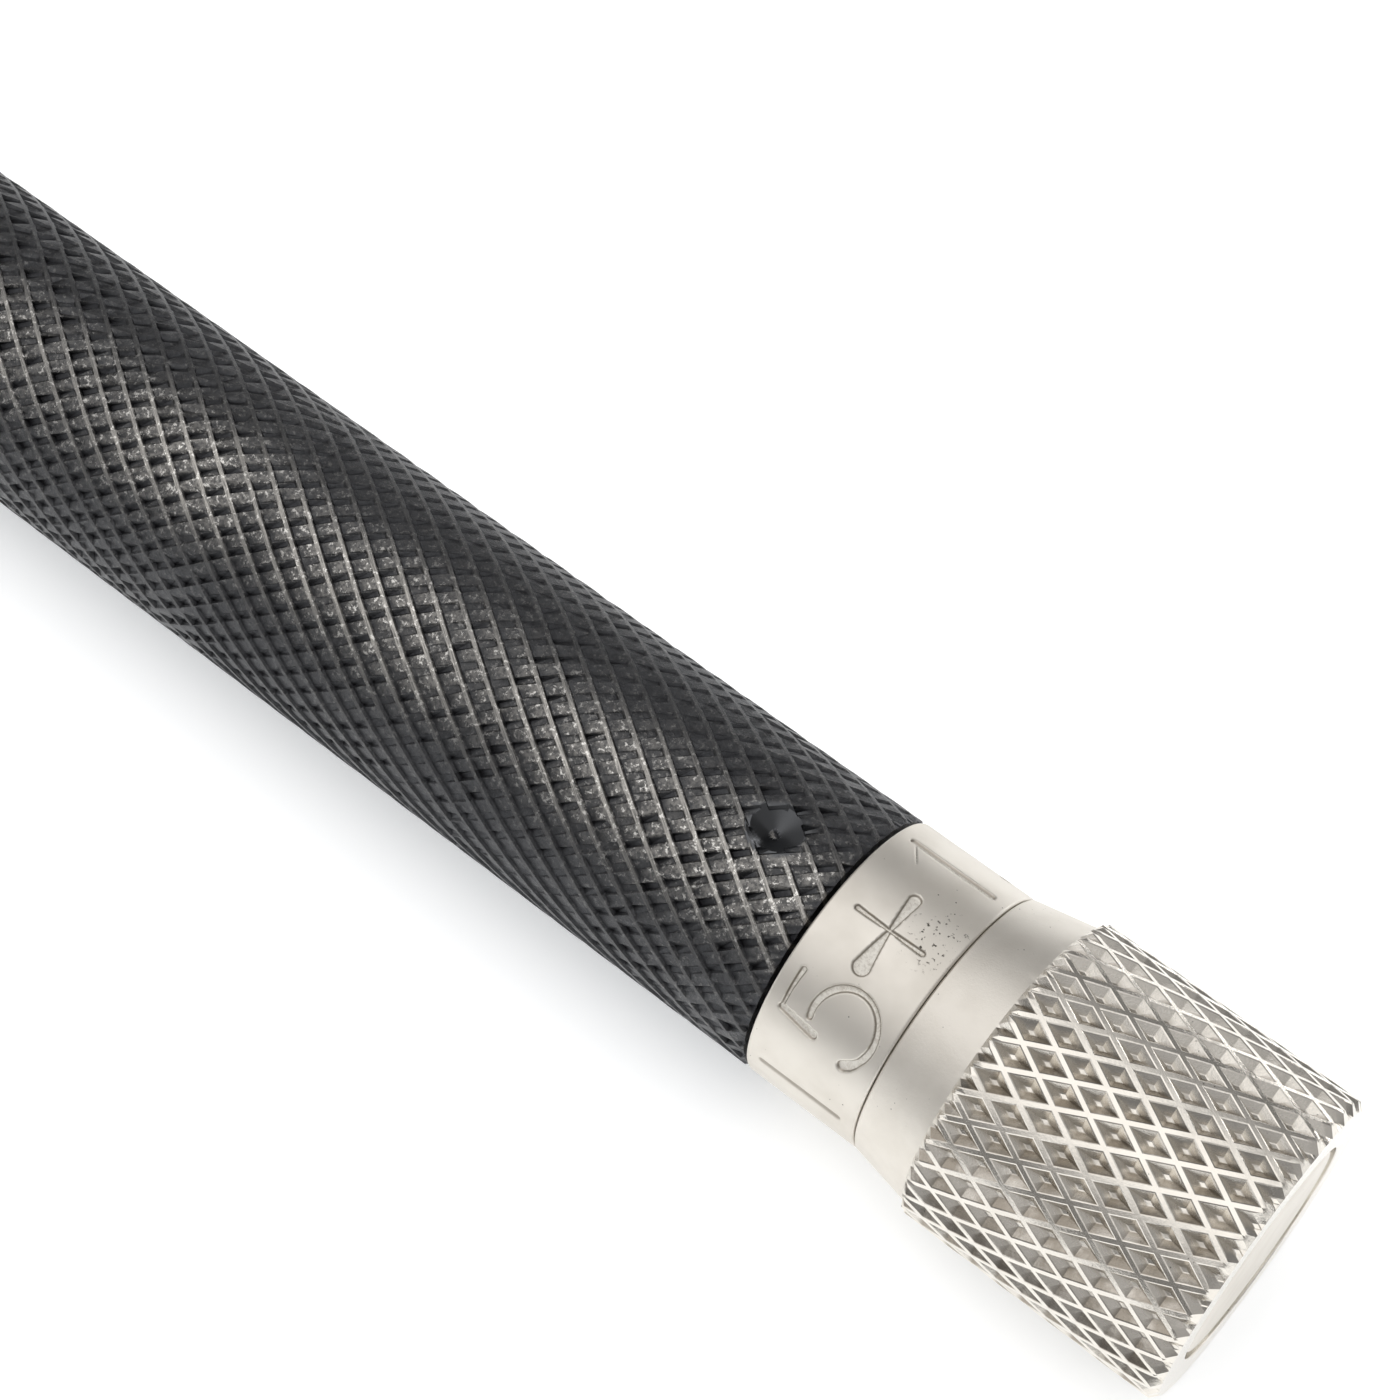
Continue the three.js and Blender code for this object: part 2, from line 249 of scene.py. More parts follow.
class Knurl:
    """Two families of helical ridges on a cylinder. Each family's phase is a whole number on its crests.
    Edges of the mesh follow the ridges at the phases in lines_a and lines_b."""

    def __init__(self, radius, starts, angle_a, angle_b, lines_a, lines_b, depth_at, phase=(0.0, 0.0)):
        self.radius, self.starts = radius, starts
        pitch = 2 * math.pi * radius / starts
        self.per_mm_a = math.tan(math.radians(angle_a)) / pitch
        self.per_mm_b = math.tan(math.radians(angle_b)) / pitch
        self.lines_a, self.lines_b = np.array(lines_a), np.array(lines_b)
        self.depth_at = depth_at
        self.phase_a, self.phase_b = phase

    def phases(self, s, t):
        turns = self.starts * t / (2 * math.pi)
        return turns + self.per_mm_a * s + self.phase_a, turns - self.per_mm_b * s + self.phase_b

    def place(self, u, v):
        u, v = u - self.phase_a, v - self.phase_b
        both = self.per_mm_a + self.per_mm_b
        t = 2 * math.pi / self.starts * (self.per_mm_b * u + self.per_mm_a * v) / both
        return (u - v) / both, t

    def sheet(self, start, end):
        """Points (station, angle) and triangles that cover the cylinder a little past start and end."""
        both = self.per_mm_a + self.per_mm_b
        offset = self.phase_a - self.phase_b
        first = math.floor(start * both + offset) - 2
        count = math.ceil(end * both + offset) + 3 - first
        na, nb = len(self.lines_a), len(self.lines_b)
        m, i, k, l = np.meshgrid(
            np.arange(count), np.arange(self.starts), np.arange(na), np.arange(nb), indexing="ij"
        )
        u = i + self.lines_a[k]
        v = i - (m + first) + self.lines_b[l]
        s, t = self.place(u, v)

        def index(dk, dl):
            kk, ll = k + dk, l + dl
            over_k, over_l = kk // na, ll // nb
            mm = m + over_k - over_l
            ii = (i + over_k) % self.starts
            number = ((mm * self.starts + ii) * na + kk % na) * nb + ll % nb
            return number, (mm >= 0) & (mm < count)

        c00, ok00 = index(0, 0)
        c10, ok10 = index(1, 0)
        c01, ok01 = index(0, 1)
        c11, ok11 = index(1, 1)
        ok = ok00 & ok10 & ok01 & ok11
        rising_a = self.lines_a[k] >= 0.5
        rising_b = self.lines_b[l] >= 0.5
        same = (rising_a == rising_b) & ok
        other = (rising_a != rising_b) & ok
        triangles = [
            np.stack([c00[same], c10[same], c11[same]], -1),
            np.stack([c00[same], c11[same], c01[same]], -1),
            np.stack([c00[other], c10[other], c01[other]], -1),
            np.stack([c10[other], c11[other], c01[other]], -1),
        ]
        return s.ravel(), t.ravel(), np.concatenate(triangles)


def knurled_tube(knurl, start, end, limit_at, rear_profile, front_profile):
    """Points (station, angle, radius) and faces of a tube that is knurled from start to end. limit_at gives
    the turned outline that the knurl stays under. rear_profile and front_profile are (station, radius)
    outlines that go on from the knurl's rear end to the bore, and from the bore to its front end."""
    s, t, triangles = knurl.sheet(start, end)
    flat = np.stack([s, knurl.radius * np.sin(t), knurl.radius * np.cos(t)], -1)
    mesh = bpy.data.meshes.new("sheet")
    mesh.from_pydata(flat.tolist(), [], triangles.tolist())
    bm = bmesh.new()
    bm.from_mesh(mesh)
    bpy.data.meshes.remove(mesh)
    for where, normal in ((start, (-1, 0, 0)), (end, (1, 0, 0))):
        geometry = bm.verts[:] + bm.edges[:] + bm.faces[:]
        bmesh.ops.bisect_plane(
            bm, geom=geometry, dist=1e-5, plane_co=(where, 0, 0), plane_no=normal, clear_outer=True
        )
    loose = [v for v in bm.verts if not v.link_faces]
    bmesh.ops.delete(bm, geom=loose, context="VERTS")
    bm.verts.ensure_lookup_table()
    bm.verts.index_update()
    co = np.array([v.co for v in bm.verts])
    faces = [tuple(v.index for v in f.verts) for f in bm.faces]
    edge_verts = sorted({v.index for e in bm.edges if len(e.link_faces) == 1 for v in e.verts})
    bm.free()
    s, t = co[:, 0], np.arctan2(co[:, 1], co[:, 2])
    r = np.minimum(knurl.radius - knurl.depth_at(knurl, s, t), limit_at(s))
    middle = (start + end) / 2

    def ring_of(side):
        ring = [i for i in edge_verts if (s[i] > middle) == side]
        return sorted(ring, key=lambda i: t[i])

    points_s, points_t, points_r = [s], [t], [r]
    total = len(s)

    def grow(ring, profile):
        """Adds a ring of vertices at each point of the outline and returns all rings, ring first."""
        nonlocal total
        rings = [ring]
        for station_here, radius_here in profile:
            points_s.append(np.full(len(ring), float(station_here)))
            points_t.append(t[ring])
            points_r.append(np.full(len(ring), float(radius_here)))
            rings.append(list(range(total, total + len(ring))))
            total += len(ring)
        return rings

    rear = grow(ring_of(True), rear_profile)
    front = grow(ring_of(False), list(reversed(front_profile)))
    front.reverse()
    for rings in (rear, front):
        for p, q in zip(rings, rings[1:]):
            for j in range(len(p)):
                k = (j + 1) % len(p)
                faces.append((p[j], q[j], q[k], p[k]))
    all_t = np.concatenate(points_t)
    faces += zip_rings(rear[-1], front[0], all_t)
    return np.concatenate(points_s), all_t, np.concatenate(points_r), faces


def zip_rings(p, q, t):
    """Triangles between two rings of vertices sorted by angle."""
    faces = []
    i = j = 0
    while i < len(p) or j < len(q):
        next_p = t[p[i + 1]] if i + 1 < len(p) else t[p[0]] + 2 * math.pi
        next_q = t[q[j + 1]] if j + 1 < len(q) else t[q[0]] + 2 * math.pi
        if j >= len(q) or (i < len(p) and next_p <= next_q):
            faces.append((p[i % len(p)], q[j % len(q)], p[(i + 1) % len(p)]))
            i += 1
        else:
            faces.append((p[i % len(p)], q[j % len(q)], q[(j + 1) % len(q)]))
            j += 1
    return faces


def off_crest(phase):
    """Distance from the nearest crest, in pitches, and the signed one."""
    signed = phase - np.round(phase)
    return np.abs(signed), signed


def flank(distance, crest, foot):
    return np.clip((distance - crest) / (foot - crest), 0, 1)


# ---------------------------------------------------------------------------------------------------------
# Materials
# ---------------------------------------------------------------------------------------------------------


class Nodes:
    """Short ways to add shader nodes."""

    def __init__(self, name, world_tree=None):
        if world_tree is not None:
            self.tree = world_tree
            self.tree.nodes.clear()
            self.direction = self.tree.nodes.new("ShaderNodeTexCoord").outputs["Generated"]
            return
        self.material = bpy.data.materials.new(name)
        self.material.use_nodes = True
        self.tree = self.material.node_tree
        self.tree.nodes.clear()
        output = self.tree.nodes.new("ShaderNodeOutputMaterial")
        self.shader = self.tree.nodes.new("ShaderNodeBsdfPrincipled")
        self.link(self.shader.outputs["BSDF"], output.inputs["Surface"])
        coordinates = self.tree.nodes.new("ShaderNodeTexCoord")
        self.place = self.scaled(coordinates.outputs["Object"], (1 / MM, 1 / MM, 1 / MM))

    def link(self, source, target):
        self.tree.links.new(source, target)

    def put(self, value, socket):
        if isinstance(value, bpy.types.NodeSocket):
            self.link(value, socket)
        else:
            socket.default_value = value

    def scaled(self, vector, scale):
        node = self.tree.nodes.new("ShaderNodeVectorMath")
        node.operation = "MULTIPLY"
        self.link(vector, node.inputs[0])
        node.inputs[1].default_value = scale
        return node.outputs[0]

    def noise(self, vector, scale, detail=3.0, roughness=0.55, distortion=0.0):
        node = self.tree.nodes.new("ShaderNodeTexNoise")
        self.link(vector, node.inputs["Vector"])
        node.inputs["Scale"].default_value = scale
        node.inputs["Detail"].default_value = detail
        node.inputs["Roughness"].default_value = roughness
        node.inputs["Distortion"].default_value = distortion
        return node.outputs["Fac"]

    def cells(self, vector, scale):
        node = self.tree.nodes.new("ShaderNodeTexVoronoi")
        self.link(vector, node.inputs["Vector"])
        node.inputs["Scale"].default_value = scale
        return node.outputs["Distance"]

    def attribute(self, name, output="Fac"):
        node = self.tree.nodes.new("ShaderNodeAttribute")
        node.attribute_name = name
        return node.outputs[output]

    def ranged(self, value, low, high, to_low=0.0, to_high=1.0):
        node = self.tree.nodes.new("ShaderNodeMapRange")
        node.interpolation_type = "SMOOTHSTEP"
        self.put(value, node.inputs["Value"])
        node.inputs["From Min"].default_value = low
        node.inputs["From Max"].default_value = high
        node.inputs["To Min"].default_value = to_low
        node.inputs["To Max"].default_value = to_high
        return node.outputs["Result"]

    def math(self, operation, a, b=0.0):
        node = self.tree.nodes.new("ShaderNodeMath")
        node.operation = operation
        self.put(a, node.inputs[0])
        self.put(b, node.inputs[1])
        return node.outputs[0]

    def dot(self, vector, direction):
        node = self.tree.nodes.new("ShaderNodeVectorMath")
        node.operation = "DOT_PRODUCT"
        self.link(vector, node.inputs[0])
        node.inputs[1].default_value = direction
        return node.outputs["Value"]

    def mix(self, factor, a, b):
        node = self.tree.nodes.new("ShaderNodeMix")
        node.data_type = "RGBA"
        self.put(factor, node.inputs["Factor"])
        self.put(a, node.inputs["A"])
        self.put(b, node.inputs["B"])
        return node.outputs["Result"]

    def bump(self, height, strength, distance_mm, normal=None):
        node = self.tree.nodes.new("ShaderNodeBump")
        node.inputs["Strength"].default_value = strength
        node.inputs["Distance"].default_value = distance_mm * MM
        self.link(height, node.inputs["Height"])
        if normal is not None:
            self.link(normal, node.inputs["Normal"])
        return node.outputs["Normal"]

    def finish(self, color, metallic, roughness, normal=None):
        self.put(color, self.shader.inputs["Base Color"])
        self.put(metallic, self.shader.inputs["Metallic"])
        self.put(roughness, self.shader.inputs["Roughness"])
        if normal is not None:
            self.link(normal, self.shader.inputs["Normal"])
        return self.material


def rgb(r, g, b):
    return (r, g, b, 1.0)


NICKEL = rgb(0.76, 0.725, 0.665)
NICKEL_DULL = rgb(0.60, 0.56, 0.495)
CUT_NICKEL = rgb(0.95, 0.93, 0.88)
GRIME_AND_SHADE = rgb(0.17, 0.135, 0.095)
SPECK = rgb(0.05, 0.04, 0.03)


def specks(n, scale, size, density_low, density_high):
    """Small round dots, thinned out by a slow noise."""
    dots = n.ranged(n.cells(n.place, scale), size, size * 0.45)
    where = n.ranged(n.noise(n.place, 0.45, 2.0), density_low, density_high)
    return n.math("MULTIPLY", dots, where)


def turned_marks(n, scale):
    """Fine rings left by turning, about the X axis."""
    return n.noise(n.scaled(n.place, (scale, 0.15, 0.15)), 1.0, 4.0, 0.6)


def satin_nickel(name="satin_nickel", cluster=None, engraved=False):
    """Warm satin plate with faint marks, small pits and, if asked, a cluster of corroded pits and marks
    whose floors are bright and rough inside dark edges."""
    n = Nodes(name)
    cloud = n.noise(n.place, 0.35, 4.0)
    tone = n.mix(n.ranged(cloud, 0.35, 0.75, 0.0, 0.35), NICKEL, NICKEL_DULL)
    dots = specks(n, 2.3, 0.09, 0.55, 0.66)
    if cluster is not None:
        distance = n.tree.nodes.new("ShaderNodeVectorMath")
        distance.operation = "DISTANCE"
        n.link(n.place, distance.inputs[0])
        distance.inputs[1].default_value = cluster
        near = n.ranged(distance.outputs["Value"], 1.9, 0.3)
        grains = n.ranged(n.noise(n.place, 5.5, 3.0, 0.6), 0.60, 0.68)
        dots = n.math("MAXIMUM", dots, n.math("MULTIPLY", grains, near))
    color = n.mix(dots, tone, SPECK)
    grain = n.noise(n.place, 14.0, 4.0, 0.65)
    roughness = n.math("ADD", n.ranged(cloud, 0.3, 0.7, 0.46, 0.54), n.ranged(dots, 0.0, 1.0, 0.0, 0.35))
    surface = n.math("SUBTRACT", n.math("MULTIPLY", grain, 0.25), dots)
    if engraved:
        depth = n.attribute("engraved")
        floor = n.ranged(depth, 0.75, 1.0)
        edge = n.math("MULTIPLY", n.ranged(depth, 0.05, 0.45), n.ranged(depth, 0.98, 0.7))
        rough = n.noise(n.place, 7.0, 4.0, 0.7)
        color = n.mix(n.math("MULTIPLY", edge, 0.6), color, GRIME_AND_SHADE)
        color = n.mix(n.math("MULTIPLY", floor, n.ranged(rough, 0.35, 0.6, 0.25, 1.0)), color, CUT_NICKEL)
        roughness = n.math("ADD", roughness, n.math("MULTIPLY", floor, 0.25))
        surface = n.math("ADD", surface, n.math("MULTIPLY", n.math("MULTIPLY", floor, rough), 1.6))
    return n.finish(color, 1.0, roughness, n.bump(surface, 0.35, 0.02))


def knurled_nickel(name="knurled_nickel"):
    """Nickel that is clean on the crests, and dull and brown with old dirt in the pits. One flank of each
    pit is painted dark brown as painted shade.
    """
    n = Nodes(name)
    depth = n.attribute("depth")
    corner = n.attribute("corner")
    satin = n.attribute("satin")
    cloud = n.noise(n.place, 0.8, 4.0)
    dirt = n.math("MULTIPLY", n.ranged(depth, 0.35, 1.0), n.ranged(n.noise(n.place, 1.7, 4.0), 0.36, 0.62))
    tone = n.mix(n.ranged(cloud, 0.35, 0.7, 0.0, 0.25), NICKEL, NICKEL_DULL)
    color = n.mix(n.math("MULTIPLY", dirt, 0.22), tone, GRIME_AND_SHADE)
    # One flank of each pit is painted dark brown: painted shade.
    color = n.mix(n.math("MULTIPLY", corner, n.ranged(cloud, 0.3, 0.6, 0.30, 0.72)), color, GRIME_AND_SHADE)
    dots = specks(n, 3.1, 0.10, 0.52, 0.62)
    color = n.mix(dots, color, SPECK)
    roughness = n.math("ADD", n.ranged(depth, 0.0, 1.0, 0.20, 0.25), n.math("MULTIPLY", dirt, 0.15))
    roughness = n.math("ADD", roughness, n.math("MULTIPLY", satin, 0.28))
    grain = n.noise(n.place, 9.0, 5.0, 0.7)
    return n.finish(color, 1.0, roughness, n.bump(grain, 0.30, 0.03))


BLACK = rgb(0.030, 0.030, 0.033)
BLACK_SHEEN = rgb(0.088, 0.091, 0.096)
WORN_AND_SHEEN = rgb(0.52, 0.50, 0.465)
PAINTED_GLINT = rgb(0.92, 0.90, 0.86)


def knurled_black(name="knurled_black"):
    """Blackened steel. In two opposite bands, one of them where the highlight falls, the ridges and the
    ground between them are painted brighter as a painted highlight, with painted glints in a fine grain; a
    tenth as much stays elsewhere as faint wear."""
    n = Nodes(name)
    depth = n.attribute("depth")
    ridge = n.attribute("ridge")
    highlight_band = n.attribute("highlight_band")
    drilled = n.attribute("drilled")
    helix = n.attribute("helix", "Vector")
    streaks = n.noise(n.scaled(helix, (34.0, 0.7, 1.0)), 1.0, 4.0, 0.65)
    patches = n.noise(n.place, 0.12, 2.0)
    patchy = n.ranged(patches, 0.3, 0.6, 0.55, 1.0)
    # How strongly the painted highlight is laid on: full in the band, a tenth elsewhere as faint wear.
    highlight_strength = n.math("MULTIPLY", n.ranged(highlight_band, 0.0, 1.0, 0.10, 1.0), patchy)
    ridge_shine = n.math("MULTIPLY", n.ranged(ridge, 0.25, 0.95), n.ranged(streaks, 0.36, 0.60, 0.25, 1.0))
    open_ground = n.ranged(depth, 0.60, 0.15)
    spots = n.noise(n.place, 5.5, 4.0, 0.7)
    land = n.math("MULTIPLY", open_ground, n.ranged(spots, 0.38, 0.62, 0.12, 0.46))
    grain = n.noise(n.place, 4.8, 4.0, 0.75)
    # Painted glints: near-white specks on the open ground, laid on only as strongly as the painted
    # highlight.
    painted_glints = n.math("MULTIPLY", n.ranged(grain, 0.545, 0.63), open_ground)
    highlight_strength = n.math("MULTIPLY", highlight_strength, n.ranged(drilled, 0.0, 1.0, 1.0, 0.0))
    sheen_and_wear = n.math("MULTIPLY", n.math("MAXIMUM", ridge_shine, land), highlight_strength)
    base = n.mix(n.noise(n.place, 3.0, 3.0), BLACK, BLACK_SHEEN)
    base = n.mix(n.ranged(depth, 0.6, 1.0, 0.0, 0.8), base, BLACK)
    base = n.mix(drilled, base, BLACK_SHEEN)
    color = n.mix(sheen_and_wear, base, WORN_AND_SHEEN)
    color = n.mix(n.math("MULTIPLY", painted_glints, highlight_strength), color, PAINTED_GLINT)
    roughness = n.math("SUBTRACT", 0.40, n.math("MULTIPLY", sheen_and_wear, 0.12))
    roughness = n.math("SUBTRACT", roughness, n.math("MULTIPLY", drilled, 0.16))
    surface = n.math("ADD", n.math("MULTIPLY", streaks, 0.5), n.math("MULTIPLY", grain, 1.4))
    surface = n.math("MULTIPLY", surface, n.ranged(drilled, 0.0, 1.0, 1.0, 0.05))
    return n.finish(color, 1.0, roughness, n.bump(surface, 0.6, 0.06))


def smooth_black(name="smooth_black"):
    n = Nodes(name)
    marks = turned_marks(n, 9.0)
    patches = n.noise(n.place, 0.5, 4.0)
    base = n.mix(patches, BLACK, BLACK_SHEEN)
    color = n.mix(n.ranged(marks, 0.6, 0.85, 0.0, 0.25), base, WORN_AND_SHEEN)
    return n.finish(color, 0.85, n.ranged(marks, 0.3, 0.7, 0.34, 0.48), n.bump(marks, 0.3, 0.02))


def turned_metal(name, color, dark, rough_low, rough_high, metallic=1.0, scale=14.0):
    """Machined metal with fine rings about the axis and a slow change of tone."""
    n = Nodes(name)
    marks = turned_marks(n, scale)
    tone = n.mix(n.ranged(n.noise(n.place, 0.6, 4.0), 0.35, 0.75), color, dark)
    tone = n.mix(specks(n, 2.6, 0.09, 0.55, 0.66), tone, SPECK)
    roughness = n.ranged(marks, 0.3, 0.7, rough_low, rough_high)
    return n.finish(tone, metallic, roughness, n.bump(marks, 0.35, 0.015))


def rubber_look(name="rubber_look"):
    n = Nodes(name)
    grain = n.noise(n.place, 6.0, 4.0, 0.6)
    color = n.mix(grain, rgb(0.012, 0.012, 0.013), rgb(0.03, 0.03, 0.032))
    return n.finish(color, 0.0, n.ranged(grain, 0.3, 0.7, 0.7, 0.88), n.bump(grain, 0.3, 0.03))


# ---------------------------------------------------------------------------------------------------------
# Handle
# ---------------------------------------------------------------------------------------------------------

HANDLE_DEPTH = 0.22
HANDLE_CREST_A, HANDLE_FOOT_A = 0.085, 0.17
HANDLE_CREST_B, HANDLE_FOOT_B = 0.285, 0.38
STEP_DEPTH, PIT_RISE = 0.105, 0.55
SPOT_STATION, SPOT_RADIUS, SPOT_DEPTH = -3.38, 1.2, 0.75
SPOT_TIP, SPOT_TIP_LIFT = 0.15, 0.09
# Where the band of painted highlight on the handle lies, as an angle and a spread.
HIGHLIGHT_ANGLE, HIGHLIGHT_SPREAD = math.radians(-21), math.radians(24)


def handle_depth(knurl, s, t):
    """One family of ridges stands proud. The other is lower, wider and steps down on one side."""
    u, v = knurl.phases(s, t)
    off_a, signed_a = off_crest(u)
    off_b, _ = off_crest(v)
    starts = knurl.starts
    wander = smooth_noise(s * 0.9, np.mod(u, starts) * 1.0, starts)
    rough = smooth_noise(s * 3.1, np.mod(v, starts) * 3.0, starts * 3)
    after_ridge = np.mod(signed_a - HANDLE_FOOT_A, 1.0)
    across = np.clip(after_ridge / (1 - 2 * HANDLE_FOOT_A), 0, 1)
    land = 0.012 + STEP_DEPTH * (1 - across) + 0.010 * rough
    pit = HANDLE_DEPTH * (1 - PIT_RISE * across)
    depth_a = HANDLE_DEPTH * flank(off_a, HANDLE_CREST_A, HANDLE_FOOT_A)
    depth_b = land + (pit - land) * flank(off_b, HANDLE_CREST_B, HANDLE_FOOT_B)
    return np.maximum(np.minimum(depth_a, depth_b) + 0.006 * wander + 0.003 * rough, 0)


def handle_limit(s):
    rear_edge, front_edge = HANDLE_REAR - 0.12, HANDLE_FRONT + 0.5
    return HANDLE_R - np.maximum(0, s - rear_edge) - np.maximum(0, front_edge - s)


def ridge_lines(crest, foot):
    return [0, crest, foot, 1 - foot, 1 - crest]


def build_handle():
    knurl = Knurl(
        HANDLE_R,
        32,
        33.5,
        41.5,
        ridge_lines(HANDLE_CREST_A, HANDLE_FOOT_A),
        ridge_lines(HANDLE_CREST_B, HANDLE_FOOT_B),
        handle_depth,
    )
    s, t, r, faces = knurled_tube(
        knurl,
        HANDLE_FRONT,
        HANDLE_REAR,
        handle_limit,
        [(HANDLE_REAR, BORE_R + 0.2), (HANDLE_REAR - 0.2, BORE_R)],
        [(HANDLE_FRONT + 0.2, BORE_R), (HANDLE_FRONT, BORE_R + 0.2)],
    )
    piece = make_piece(
        "knurled_handle", on_tool(s, t, r), faces, knurled_black(), "handle", ["handle_tube"]
    )
    drill_spot(piece)
    mesh = piece.data
    s, t, r = tool_coordinates(mesh)
    u, v = knurl.phases(s, t)
    store_float(mesh, "depth", np.clip((HANDLE_R - r) / HANDLE_DEPTH, 0, 1))
    store_vector(mesh, "helix", np.stack([u, s, v], -1))
    store_float(mesh, "ridge", 1 - flank(off_crest(u)[0], HANDLE_CREST_A * 0.8, HANDLE_FOOT_A))
    # The band of painted highlight, at the highlight's angle and on the opposite side.
    side = np.mod(t - HIGHLIGHT_ANGLE + math.pi / 2, math.pi) - math.pi / 2
    store_float(mesh, "highlight_band", np.exp(-((side / HIGHLIGHT_SPREAD) ** 2)))
    from_spot = np.hypot(s - SPOT_STATION, r * np.sin(t))
    drilled = (from_spot < SPOT_RADIUS * 1.02) & (r * np.cos(t) > HANDLE_R - 1.2 * SPOT_DEPTH)
    store_float(mesh, "drilled", drilled & (from_spot > SPOT_TIP))
    return piece


def drill_spot(piece):
    """The conical index spot, drilled from above."""
    over = 0.4
    scale = (SPOT_DEPTH + over) / SPOT_DEPTH
    sides, steps = 48, 8
    center = Vector((ZERO_X + SPOT_STATION * MM, 0, 0))
    rings = [(SPOT_RADIUS * scale, over)]
    for i in range(steps + 1):
        part = i / steps
        radius = SPOT_RADIUS + (SPOT_TIP - SPOT_RADIUS) * part
        rings.append((radius, (SPOT_TIP_LIFT - SPOT_DEPTH) * part))
    rings.append((SPOT_TIP * 0.6, SPOT_TIP_LIFT - SPOT_DEPTH))
    points, faces = [], []
    for radius, height in rings:
        for j in range(sides):
            a = 2 * math.pi * j / sides
            z = AXIS_Z + (HANDLE_R + height) * MM
            points.append((center.x + radius * MM * math.cos(a), radius * MM * math.sin(a), z))
    for i in range(len(rings) - 1):
        for j in range(sides):
            k = (j + 1) % sides
            faces.append((i * sides + j, (i + 1) * sides + j, (i + 1) * sides + k, i * sides + k))
    faces.append(tuple(range(sides)))
    last = (len(rings) - 1) * sides
    faces.append(tuple(reversed(range(last, last + sides))))
    mesh = bpy.data.meshes.new("drill")
    mesh.from_pydata(points, [], faces)
    drilled = cut_away(piece, mesh)
    drilled.polygons.foreach_set("use_smooth", [True] * len(drilled.polygons))
    drilled.set_sharp_from_angle(angle=math.radians(27))


# ---------------------------------------------------------------------------------------------------------
# Dial ring
# ---------------------------------------------------------------------------------------------------------

DIAL_MARKS = ("+", "1", "5")
DIAL_STEP = math.radians(40)
FIRST_MARK = math.radians(-6.4)
TOP, BOTTOM = 0.85, 4.6
GROOVE_DEPTH, GROOVE_WALL = 0.13, 0.095
SHALLOW_MARKS = {7: 0.4}


def arc_points(center, radii, start_deg, end_deg, steps):
    out = []
    for i in range(steps + 1):
        a = math.radians(start_deg + (end_deg - start_deg) * i / steps)
        out.append((center[0] + radii[0] * math.cos(a), center[1] + radii[1] * math.sin(a)))
    return out


def strokes_of(mark):
    """Engraved strokes as lists of (across, station, half width) in millimetres. Across grows to the right
    as the mark is read with its top towards the handle."""
    if mark == "1":
        return [
            [(0.10, TOP, 0.17), (0.10, BOTTOM, 0.17)],
            [(0.0, TOP + 0.15, 0.012), (-0.5, TOP + 0.45, 0.022), (-1.0, TOP + 0.80, 0.016)],
        ]
    if mark == "+":
        return [
            [(0.02, 1.15, 0.13), (0.0, 2.69, 0.09), (0.02, 4.25, 0.13)],
            [(-1.75, 2.68, 0.40), (-1.2, 2.68, 0.30), (-0.15, 2.69, 0.12)],
            [(0.15, 2.70, 0.12), (1.2, 2.68, 0.24), (1.65, 2.66, 0.29)],
        ]
    bowl = arc_points((0.04, 3.35), (1.58, 1.40), -106, 150, 26)
    count = len(bowl)
    widths = [0.155 + 0.025 * math.sin(i / count * 9) for i in range(count)]
    widths[-4:] = [0.17, 0.21, 0.25, 0.25]
    return [
        [(-0.72, 0.84, 0.09), (0.2, 0.84, 0.11), (1.05, 0.88, 0.14)],
        [(-0.75, 0.86, 0.16), (-0.98, 2.45, 0.21)],
        [(a, b, w) for (a, b), w in zip(bowl, widths)],
    ]


def engraving(s, across_all):
    """Depth of the marks at each point, in millimetres."""
    depth = np.zeros(s.shape)
    count = round(2 * math.pi / DIAL_STEP)
    for i in range(count):
        mark = DIAL_MARKS[i % len(DIAL_MARKS)]
        center = FIRST_MARK + i * DIAL_STEP
        turned = np.mod(across_all - center + math.pi, 2 * math.pi) - math.pi
        near = np.abs(turned) < DIAL_STEP * 0.75
        x = turned[near] * HANDLE_R
        y = s[near]
        deepest = np.zeros(x.shape)
        for stroke in strokes_of(mark):
            for (ax, ay, aw), (bx, by, bw) in zip(stroke, stroke[1:]):
                dx, dy = bx - ax, by - ay
                along = np.clip(((x - ax) * dx + (y - ay) * dy) / (dx * dx + dy * dy), 0, 1)
                distance = np.hypot(x - ax - along * dx, y - ay - along * dy)
                half = aw + (bw - aw) * along
                wall = np.clip((half - distance) / GROOVE_WALL, 0, 1)
                deepest = np.maximum(deepest, GROOVE_DEPTH * wall * (2 - wall))
        depth[near] = np.maximum(depth[near], deepest * SHALLOW_MARKS.get(i, 1.0))
    return depth


